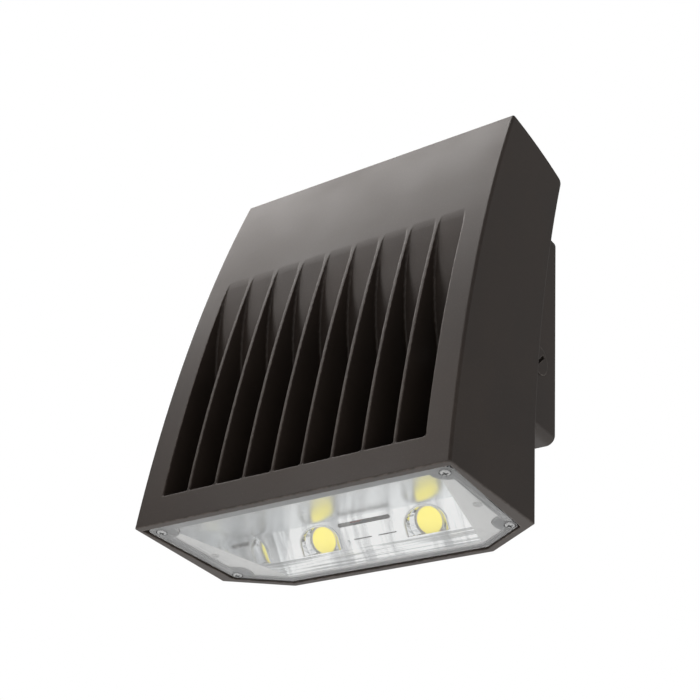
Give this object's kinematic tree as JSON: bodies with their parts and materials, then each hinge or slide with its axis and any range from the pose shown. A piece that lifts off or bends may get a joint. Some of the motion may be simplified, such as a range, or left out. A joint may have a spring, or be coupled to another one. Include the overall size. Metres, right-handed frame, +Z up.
{
  "type": "wall pack light",
  "caption": "Outdoor wall pack light: finned cast housing hinged on a back box, with a flat lens below over a bright reflector and angled light sources.",
  "frame": {"origin": "centre of the back box's rear face, on the wall, midway between the four wall holes", "axes": "+X to the right of someone who faces the light, +Y into the wall, +Z up"},
  "size_m": [0.2592, 0.1563, 0.318],
  "materials": {
    "bronze_coat": "dark bronze fine-textured powder coat over die-cast aluminium",
    "clear_lens": "clear flat lens with a polished edge",
    "dark_rubber": "dark grey silicone rubber",
    "grey_rubber": "mid grey silicone foam",
    "stainless": "stainless steel fasteners",
    "bright_sheet": "bright, slightly hazy aluminium reflector sheet",
    "led_board": "white-faced metal-core board",
    "led_phosphor": "yellow phosphor in clear silicone",
    "led_dam": "white silicone ring",
    "pad_grey": "soft heat-conducting pad",
    "holder_white": "white moulded holder",
    "zinc_sheet": "zinc-plated sheet steel",
    "driver_can": "satin aluminium can, potted inside",
    "connector_clear": "translucent orange push-in connector",
    "lead_black": "black lead insulation",
    "lead_white": "white lead insulation",
    "lead_green": "green lead insulation",
    "lead_red": "red lead insulation",
    "tinned_copper": "tinned copper terminal",
    "green_screw": "green ground screw",
    "nylon_white": "white nylon washer"
  },
  "bodies": {
    "wall_side": {"back_box": "bronze_coat", "box_gasket": "dark_rubber", "conduit_plugs": "bronze_coat", "box_ground_screw": "green_screw", "hinge_pins": "stainless", "hinge_washers": "nylon_white"},
    "housing_side": {"housing": "bronze_coat", "lens": "clear_lens", "lens_gasket": "grey_rubber", "lens_screws": "stainless", "reflector": "bright_sheet", "reflector_screws": "stainless", "cob_substrates": "led_board", "cob_phosphors": "led_phosphor", "cob_dams": "led_dam", "thermal_pads": "pad_grey", "cob_holders": "holder_white", "holder_screws": "stainless", "mounting_plate": "zinc_sheet", "mounting_screws": "stainless", "driver": "driver_can", "driver_screws": "stainless", "supply_connectors": "connector_clear", "lead_line": "lead_black", "lead_neutral": "lead_white", "lead_ground": "lead_green", "ground_terminal": "tinned_copper", "ground_screw": "green_screw", "led_lead_positive": "lead_red", "led_lead_negative": "lead_black", "led_link": "lead_red", "bulkhead_grommet": "dark_rubber"},
    "closing_fastener": {"closing_screw": "stainless", "closing_washer": "stainless", "closing_retainer": "stainless"}
  },
  "joints": [
    {"name": "housing_hinge", "type": "hinge", "parent": "wall_side", "child": "housing_side", "pos_m": [-0.122, -0.022, 0], "axis": [0, 0, -1], "range_deg": [0, 90]},
    {"name": "closing_slide", "type": "slide", "parent": "housing_side", "child": "closing_fastener", "axis": [0, -1, 0], "range_m": [0, 0.01]}
  ]
}
